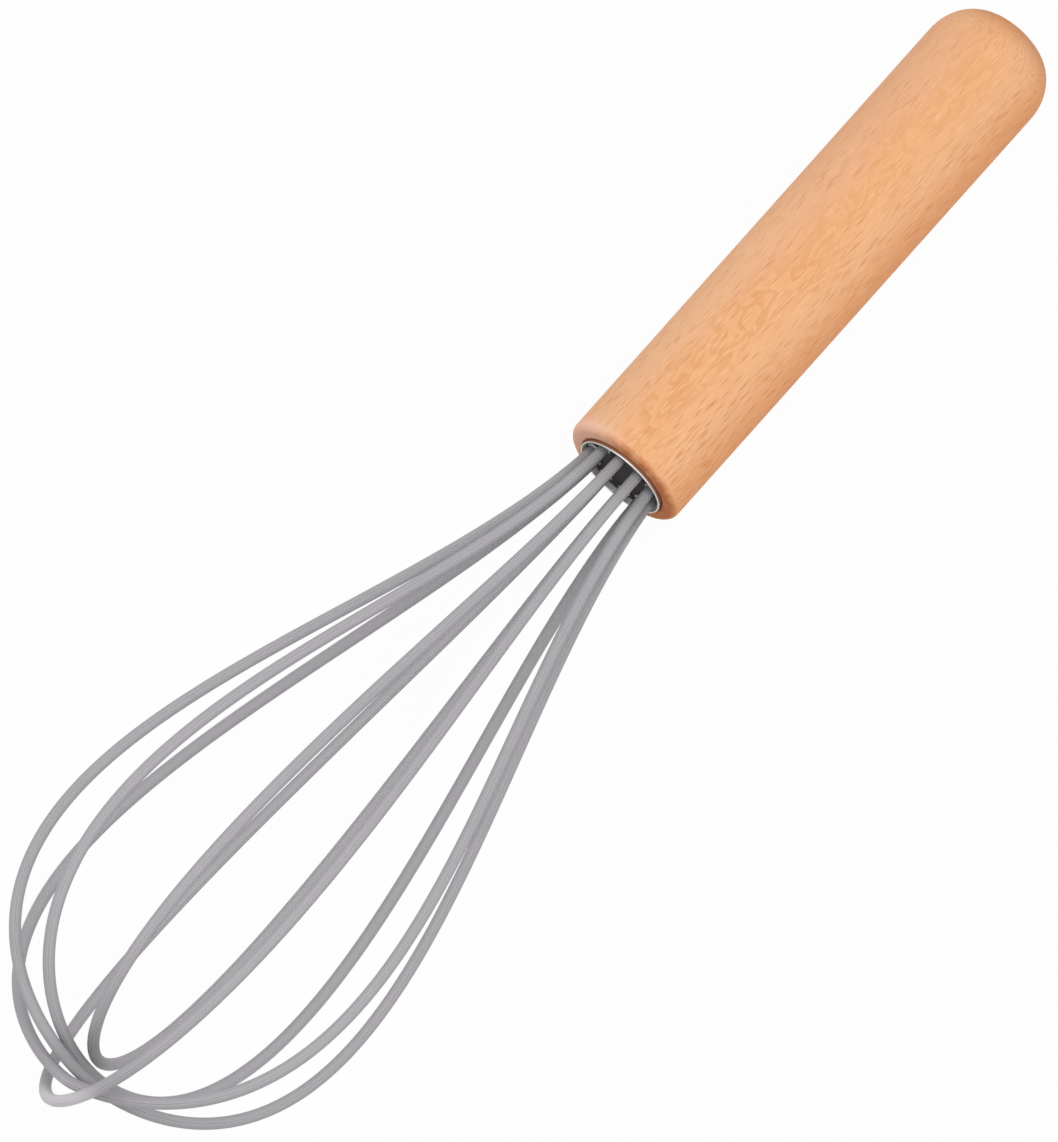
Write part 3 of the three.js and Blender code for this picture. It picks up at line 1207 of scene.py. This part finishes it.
@dataclass
class Cage:
    """Nested loops of silicone-covered wire, in millimetres and degrees.

    Attributes:
        loops: Loops from the innermost layer to the outermost.
        sleeve_diameter: Thickness of the covers.
        sleeve_wall: Thickness of their silicone.
        layer_gap: Gap between loops where they cross at the tip.
        inner_reach: Distance from the rim to the innermost loop's tip.
        ring_radius: Radius of the ring that the legs leave the plug in.
        sleeve_end: Height of the covers' ends inside the plug.
        steps: Number of steps in one leg.
        sides: Number of sides of a cover.
        seam_height: Height of the parting lines.
        seam_width: Width between the two crests of a parting line.
    """

    loops: tuple[Loop, ...] = LOOPS
    sleeve_diameter: float = 2.2
    sleeve_wall: float = 0.42
    layer_gap: float = 0.3
    inner_reach: float = 147.1
    ring_radius: float = 7.05
    sleeve_end: float = -13.2
    steps: int = 150
    sides: int = 72
    seam_height: float = 0.06
    seam_width: float = 0.382

    @property
    def sleeve_radius(self) -> float:
        """Outside radius of the covers."""
        return self.sleeve_diameter / 2

    def feet(self) -> list[Point]:
        """Places of all legs on the plug's face."""
        angles = [math.radians(loop.azimuth + turn) for loop in self.loops for turn in (0, 180)]
        return [(self.ring_radius * math.cos(a), self.ring_radius * math.sin(a)) for a in angles]

    def _leg(self, loop: Loop, side: int) -> list[Vector]:
        """Points of one leg from the rim to the tip.

        Args:
            loop: The loop.
            side: 1 for its first leg and -1 for its second.

        Returns:
            The points in millimetres along the whisk's axes.
        """
        unit = self.inner_reach
        reach = unit + loop.layer * (self.sleeve_diameter + self.layer_gap)
        lead = loop.exit * unit
        controls = [
            (self.ring_radius, 0.0),
            (self.ring_radius + lead * math.tan(math.radians(loop.flare)), lead),
            ((loop.swell + side * loop.skew) * unit, reach - loop.shoulder * unit),
            (loop.tip * unit, reach),
            (0.0, reach),
        ]
        bent = [bezier(controls, step / self.steps) for step in range(self.steps + 1)]
        drift = math.tan(math.radians(loop.lean))
        turn = Matrix.Rotation(math.radians(loop.azimuth), 3, "Z")
        return [turn @ Vector((side * radius, height * drift, height)) for radius, height in bent]

    def path(self, loop: Loop) -> list[Vector]:
        """Points of a whole loop from one end inside the plug to the other.

        Args:
            loop: The loop.

        Returns:
            The points in millimetres along the whisk's axes.
        """
        near = self._leg(loop, 1)
        far = self._leg(loop, -1)
        tails = [Vector((leg[0].x, leg[0].y, self.sleeve_end)) for leg in (near, far)]
        return [tails[0], *near, *reversed(far[:-1]), tails[1]]

    def build(self, axes: WhiskAxes, finish: GreySilicone) -> list[Piece]:
        """Builds and dresses the covers.

        Args:
            axes: Axes of the whisk.
            finish: Their finish.

        Returns:
            One piece for each loop.
        """
        tree = CoverTree()
        silicone = finish.material(axes)
        covers = []
        for loop in self.loops:
            points = [axes.matrix() @ point for point in self.path(loop)]
            mesh = bpy.data.meshes.new(f"silicone_cover_{loop.name}")
            mesh.from_pydata(points, [(i, i + 1) for i in range(len(points) - 1)], [])
            angle = math.radians(loop.azimuth)
            normal = axes.up * math.cos(angle) - axes.side * math.sin(angle)
            sizes = {
                "Radius": self.sleeve_radius * MILLIMETRE,
                "Sides": self.sides,
                "Plane normal": tuple(normal),
                "Seam turn": math.radians(loop.seam_turn),
                "Seam height": self.seam_height * MILLIMETRE,
                "Seam half width": self.seam_width / 2 * MILLIMETRE,
                "Seam name": finish.seam,
                "Finish": silicone,
            }
            cover = tree.sweep(show(mesh), sizes)
            wall = cover.modifiers.new("wall", "SOLIDIFY")
            wall.thickness = self.sleeve_wall * MILLIMETRE
            wall.offset = -1.0
            covers.append(dress(settle(cover), silicone, Slot.GREY_SILICONE, f"sleeve_{loop.name}"))
        return covers

    def dress_cores(self, axes: WhiskAxes, finish: DrawnWire) -> list[Piece]:
        """Gives the wires inside the covers their finish.

        Args:
            axes: Axes of the whisk.
            finish: Their finish.

        Returns:
            The wires' nodes.
        """
        steel = finish.material(axes)
        cores = [frame["nodes"][f"core_{loop.name}"] for loop in self.loops]
        for core in cores:
            for slot in core.material_slots:
                slot.material = steel
        return cores


@dataclass
class Plug:
    """Resin that is poured into the ferrule round the legs, in millimetres.

    Attributes:
        ferrule: Cup that it fills.
        cage: Loops that it holds.
        recess: Depth of its face below the rim.
        slump: How much deeper the face lies at its edge beside loop a's first leg.
        slump_width: Width of the stretch that lies deeper.
        wall_clearance: Gap to the cup.
        floor_gap: Gap to the cup's floor.
        socket_gap: Gap round a cover.
        core_diameter: Thickness of the bare wires.
        core_depth: Depth of the wires' ends below the face.
        creep: How high the resin creeps up the legs.
        creep_width: Width in which the creep fades.
        wall_segments: Number of steps round the face.
        leg_segments: Number of steps round a leg.
        mesh_size: Spacing of the points on the face.
        collars: Distances of the rings of points round each leg, in shares of that spacing.
        collar_slack: Share of its own distance that a ring keeps from the other edges.
        grid_margin: Distance that the other points keep from the edges, in shares of that spacing.
    """

    ferrule: Ferrule
    cage: Cage
    recess: float = 1.2
    slump: float = 1.1
    slump_width: float = 4.0
    wall_clearance: float = 0.2
    floor_gap: float = 0.3
    socket_gap: float = 0.03
    core_diameter: float = 1.0
    core_depth: float = 19.0
    creep: float = 0.5
    creep_width: float = 0.4
    wall_segments: int = 120
    leg_segments: int = 32
    mesh_size: float = 0.3
    collars: tuple[float, ...] = (0.3, 0.7, 1.3)
    collar_slack: float = 0.95
    grid_margin: float = 1.8

    @property
    def radius(self) -> float:
        """Radius of the plug."""
        return self.ferrule.bore_radius - self.wall_clearance

    @property
    def socket_radius(self) -> float:
        """Radius of the holes that the covers stand in."""
        return self.cage.sleeve_radius + self.socket_gap

    def _ring(self, centre: Point, radius: float, segments: int) -> list[Vector]:
        """Points of a circle on the face."""
        return [Vector(point) for point in arc(centre, (radius, radius), 0, 360, segments)[:-1]]

    def _clear(self, point: Vector, feet: list[Point], margin: float) -> bool:
        """Whether a point lies on the face, clear of its edges by a margin."""
        inside = point.length < self.radius - margin
        return inside and all((point - Vector(foot)).length > self.socket_radius + margin for foot in feet)

    def _face(self, feet: list[Point]) -> tuple[list[Vector], list[list[int]]]:
        """Flat face with a hole for each leg.

        Args:
            feet: Places of the legs.

        Returns:
            The points and the triangles between them.
        """
        rows = [self._ring((0.0, 0.0), self.radius, self.wall_segments)]
        rows += [self._ring(foot, self.socket_radius, self.leg_segments) for foot in feet]
        points = [point for row in rows for point in row]
        edges = []
        start = 0
        for row in rows:
            edges += [(start + i, start + (i + 1) % len(row)) for i in range(len(row))]
            start += len(row)
        for share in self.collars:
            margin = share * self.mesh_size
            slack = self.collar_slack * margin
            rings = [self._ring(foot, self.socket_radius + margin, self.leg_segments) for foot in feet]
            points += [point for ring in rings for point in ring if self._clear(point, feet, slack)]
        reach = int(self.radius / self.mesh_size)
        steps = range(-reach, reach + 1)
        grid = [Vector((x, y)) * self.mesh_size for x in steps for y in steps]
        points += [point for point in grid if self._clear(point, feet, self.grid_margin * self.mesh_size)]
        inside_edges = 1
        tolerance = 1e-6
        spots, _, triangles = delaunay_2d_cdt(points, edges, [], inside_edges, tolerance)[:3]
        middles = [sum((spots[i] for i in triangle), Vector((0, 0))) / 3 for triangle in triangles]
        return spots, [t for t, middle in zip(triangles, middles) if self._clear(middle, feet, 0.0)]

    def _creep(self, spot: Vector, feet: list[Point]) -> float:
        """Height that the resin has crept up at a point of the face.

        Args:
            spot: The point.
            feet: Places of the legs.

        Returns:
            The height above the flat of the face.
        """
        gap = min((spot - Vector(foot)).length - self.socket_radius for foot in feet)
        return self.creep * math.exp(-max(gap, 0.0) / self.creep_width)

    def _depth(self, spot: Vector) -> float:
        """Depth of the face below the rim at a point, without the creep."""
        share = min(max(1 + (spot.x - self.radius) / self.slump_width, 0.0), 1.0)
        return self.recess + self.slump * share * share * (3 - 2 * share)

    @staticmethod
    def _drop(shape: Shape, edges: list[Edge], place: Callable[[Vector], Vector]) -> list[Edge]:
        """Draws a closed row of edges out into a wall.

        Args:
            shape: Shape that the edges belong to.
            edges: The row.
            place: Gives the place of a new point from that of the old one.

        Returns:
            The row at the wall's end.
        """
        made = bmesh.ops.extrude_edge_only(shape, edges=edges)["geom"]
        for item in made:
            if isinstance(item, bmesh.types.BMVert):
                item.co = place(item.co)
        return [item for item in made if isinstance(item, Edge)]

    def build(self, axes: WhiskAxes, finish: DarkResin) -> list[Piece]:
        """Builds and dresses the plug.

        Args:
            axes: Axes of the whisk.
            finish: Its finish.

        Returns:
            The one piece.
        """
        feet = self.cage.feet()
        spots, triangles = self._face(feet)
        shape = bmesh.new()
        corners = [shape.verts.new((s.x, s.y, self._creep(s, feet) - self._depth(s))) for s in spots]
        for triangle in triangles:
            shape.faces.new([corners[i] for i in triangle])
        rims = [edge for edge in shape.edges if edge.is_boundary]
        between = (self.radius + self.cage.ring_radius + self.socket_radius) / 2
        outer = [edge for edge in rims if all(v.co.xy.length > between for v in edge.verts)]
        floor = self.ferrule.wall + self.floor_gap - self.ferrule.length
        bottom = self._drop(shape, outer, lambda spot: Vector((spot.x, spot.y, floor)))
        bmesh.ops.edgeloop_fill(shape, edges=bottom)
        for foot in feet:
            centre = Vector(foot)
            near = self.socket_radius + self.socket_gap
            hole = [edge for edge in rims if all((v.co.xy - centre).length < near for v in edge.verts)]
            self._socket(shape, hole, centre)
        mesh = to_mesh("resin_plug", shape, axes)
        crept = mesh.attributes.new(finish.crept, "FLOAT", "POINT")
        shares = [self._creep(s, feet) / self.creep for s in spots]
        crept.data.foreach_set("value", shares + [0.0] * (len(mesh.vertices) - len(spots)))
        plug = show(mesh)
        return [dress(plug, finish.material(axes), Slot.DARK_RESIN, "plug")]

    def _socket(self, shape: Shape, hole: list[Edge], centre: Vector) -> None:
        """Sinks a stepped hole: a cover's width in front and a bare wire's width behind.

        Args:
            shape: Shape of the plug.
            hole: Row of edges round the hole in the face.
            centre: Place of the leg.
        """
        step = self.cage.sleeve_end - self.socket_gap
        floor = -self.recess - self.core_depth - self.socket_gap
        narrow = (self.core_diameter / 2 + self.socket_gap) / self.socket_radius
        hole = self._drop(shape, hole, lambda spot: Vector((spot.x, spot.y, step)))
        hole = self._drop(shape, hole, lambda spot: Vector((*centre.lerp(spot.xy, narrow), step)))
        hole = self._drop(shape, hole, lambda spot: Vector((spot.x, spot.y, floor)))
        bmesh.ops.edgeloop_fill(shape, edges=hole)


@dataclass(frozen=True)
class PhotoCamera:
    """Camera at the photograph's viewing angle.

    Attributes:
        image: Width and height of the photograph in pixels.
        tilt: Angle in degrees by which the tip leans towards the camera.
        turn: Angle in degrees of the whisk's axis in the picture, from the horizontal.
        rim_pixel: Pixel of the rim's centre.
        scale: Pixels to a millimetre at the rim.
        focal: Focal length in pixels.
        sensor: Long side of the sensor in millimetres.
    """

    image: Point = (1058, 1142)
    tilt: float = 18.37
    turn: float = 48.22
    rim_pixel: Point = (619.5, 477.9)
    scale: float = 5.42
    focal: float = 8000.0
    sensor: float = 36.0

    def axes(self, whisk: WhiskAxes) -> Matrix:
        """Directions of the camera.

        Args:
            whisk: Axes of the whisk.

        Returns:
            A matrix whose columns are the picture's right, its top and the way to the camera.
        """
        tilt = math.radians(self.tilt)
        turn = math.radians(self.turn)
        towards = whisk.tip * math.sin(tilt) + whisk.up * math.cos(tilt)
        down_axis = whisk.tip * math.cos(tilt) - whisk.up * math.sin(tilt)
        right = whisk.side * math.sin(turn) - down_axis * math.cos(turn)
        return Matrix((right, towards.cross(right), towards)).transposed()

    def place(self, whisk: WhiskAxes) -> Matrix:
        """Makes the camera and sets it as the scene's.

        Args:
            whisk: Axes of the whisk.

        Returns:
            The camera's directions.
        """
        lens = bpy.data.cameras.new("photo_camera")
        lens.sensor_width = self.sensor
        lens.lens = self.sensor * self.focal / max(self.image)
        turn = self.axes(whisk)
        right_gap = (self.image[0] / 2 - self.rim_pixel[0]) / self.scale
        top_gap = (self.rim_pixel[1] - self.image[1] / 2) / self.scale
        offset = Vector((right_gap, top_gap, self.focal / self.scale)) * MILLIMETRE
        camera = bpy.data.objects.new("photo_camera", lens)
        camera.matrix_world = Matrix.Translation(whisk.rim + turn @ offset) @ turn.to_4x4()
        bpy.context.scene.collection.objects.link(camera)
        bpy.context.scene.camera = camera
        return turn


@dataclass(frozen=True)
class Lamp:
    """Soft square lamp.

    Attributes:
        name: Name of the lamp.
        direction: Where it stands, along the picture's right, its top and the way to the camera.
        distance: Distance from the whisk in metres.
        width: Width in metres.
        power: Power in watts.
    """

    name: str
    direction: tuple[float, float, float]
    distance: float
    width: float
    power: float

    def hang(self, target: Vector, turn: Matrix) -> None:
        """Hangs the lamp so that it faces the whisk.

        Args:
            target: Point that it faces.
            turn: The camera's directions.
        """
        light = bpy.data.lights.new(self.name, "AREA")
        light.size = self.width
        light.energy = self.power
        lamp = bpy.data.objects.new(self.name, light)
        away = (turn @ Vector(self.direction)).normalized()
        facing = away.to_track_quat("Z", "Y").to_matrix().to_4x4()
        lamp.matrix_world = Matrix.Translation(target + away * self.distance) @ facing
        bpy.context.scene.collection.objects.link(lamp)


@dataclass(frozen=True)
class Studio:
    """White floor and surroundings with soft lamps.

    Attributes:
        floor_size: Width of the floor in metres.
        floor_drop: Gap below the whisk in metres.
        floor_pale: Colour of the floor.
        floor_grey: Colour of its faint marbling.
        floor_glow: Share of plain white in what the camera sees of the floor.
        ambient: Strength of the even light from all round.
        backdrop: Strength of the white that shows.
        lamps: The lamps.
    """

    floor_size: float = 8.0
    floor_drop: float = 0.0002
    floor_pale: Colour = srgb(232, 232, 232)
    floor_grey: Colour = srgb(226, 226, 226)
    floor_glow: float = 0.96
    ambient: float = 0.44
    backdrop: float = 1.0
    lamps: tuple[Lamp, ...] = (
        Lamp("key_lamp", (-0.08, 0.3, 1.0), distance=1.1, width=1.0, power=7.0),
        Lamp("fill_lamp", (0.8, -0.25, 0.9), distance=1.2, width=0.8, power=3.5),
    )

    @staticmethod
    def _seen(sheet: NodeSheet) -> Value:
        """Tells the rays that show the surroundings from those that only light the whisk.

        Args:
            sheet: Sheet that the nodes go on.

        Returns:
            1 for rays of the camera, gloss or glass, and 0 for light.
        """
        rays = sheet.node("ShaderNodeLightPath").outputs
        seen = Value(sheet, rays["Is Camera Ray"]).larger(Value(sheet, rays["Is Glossy Ray"]))
        return seen.larger(Value(sheet, rays["Is Transmission Ray"]))

    def _floor_finish(self) -> Material:
        """Pale matt floor, mostly plain white to the camera, which keeps a faint shadow.

        Returns:
            The material.
        """
        sheet = MaterialSheet("pale_floor")
        spot = sheet.socket("ShaderNodeTexCoord", output="Object")
        colour = sheet.blend(sheet.noise(spot, (1.0, 1.0, 1.0)), self.floor_pale, self.floor_grey)
        matt = sheet.socket("ShaderNodeBsdfDiffuse", inputs={"Color": colour})
        white = sheet.socket("ShaderNodeEmission", inputs={"Strength": self.backdrop})
        inputs = {0: self._seen(sheet) * self.floor_glow, 1: matt, 2: white}
        mixed = sheet.socket("ShaderNodeMixShader", inputs=inputs)
        sheet.node("ShaderNodeOutputMaterial", inputs={"Surface": mixed})
        return sheet.material

    def _lay_floor(self) -> None:
        """Lays the floor under the whisk."""
        half = self.floor_size / 2
        height = CAD_BOX[0].z - self.floor_drop
        mesh = bpy.data.meshes.new("floor")
        corners = ((-half, -half), (half, -half), (half, half), (-half, half))
        mesh.from_pydata([(x, y, height) for x, y in corners], [], [range(len(corners))])
        mesh.materials.append(self._floor_finish())
        floor = bpy.data.objects.new("floor", mesh)
        bpy.context.scene.collection.objects.link(floor)

    def _fill_world(self) -> None:
        """Makes the surroundings white to see, with an even light of their own."""
        world = bpy.data.worlds.new("white_surroundings")
        world.use_nodes = True
        sheet = NodeSheet(world.node_tree)
        white = srgb(255, 255, 255)
        light, shown = (
            sheet.socket("ShaderNodeBackground", inputs={"Color": white, "Strength": strength})
            for strength in (self.ambient, self.backdrop)
        )
        mixed = sheet.socket("ShaderNodeMixShader", inputs={0: self._seen(sheet), 1: light, 2: shown})
        sheet.node("ShaderNodeOutputWorld", inputs={"Surface": mixed})
        bpy.context.scene.world = world

    def set_up(self, turn: Matrix) -> None:
        """Lays the floor, fills the surroundings and hangs the lamps.

        Args:
            turn: The camera's directions.
        """
        self._lay_floor()
        self._fill_world()
        middle = (CAD_BOX[0] + CAD_BOX[1]) / 2
        for lamp in self.lamps:
            lamp.hang(middle, turn)
        bpy.context.scene.view_settings.view_transform = "Standard"


def main() -> None:
    """Builds and dresses the whisk and sets it in the studio."""
    logging.basicConfig(level=logging.INFO, format="%(message)s")
    ferrule = Ferrule()
    handle = Handle(ferrule)
    cage = Cage()
    axes = WhiskAxes.from_frame(-handle.butt)
    Studio().set_up(PhotoCamera().place(axes))
    pieces = handle.build(axes, Beech(handle.bore_radius))
    pieces += ferrule.build(axes, TurnedSteel(ferrule.middle_radius))
    pieces += Plug(ferrule, cage).build(axes, DarkResin())
    pieces += cage.build(axes, GreySilicone())
    pieces += cage.dress_cores(axes, DrawnWire())
    for piece in pieces:
        LOG.info("%s: %d faces", piece.name, len(piece.data.polygons))


if __name__ == "__main__":
    main()
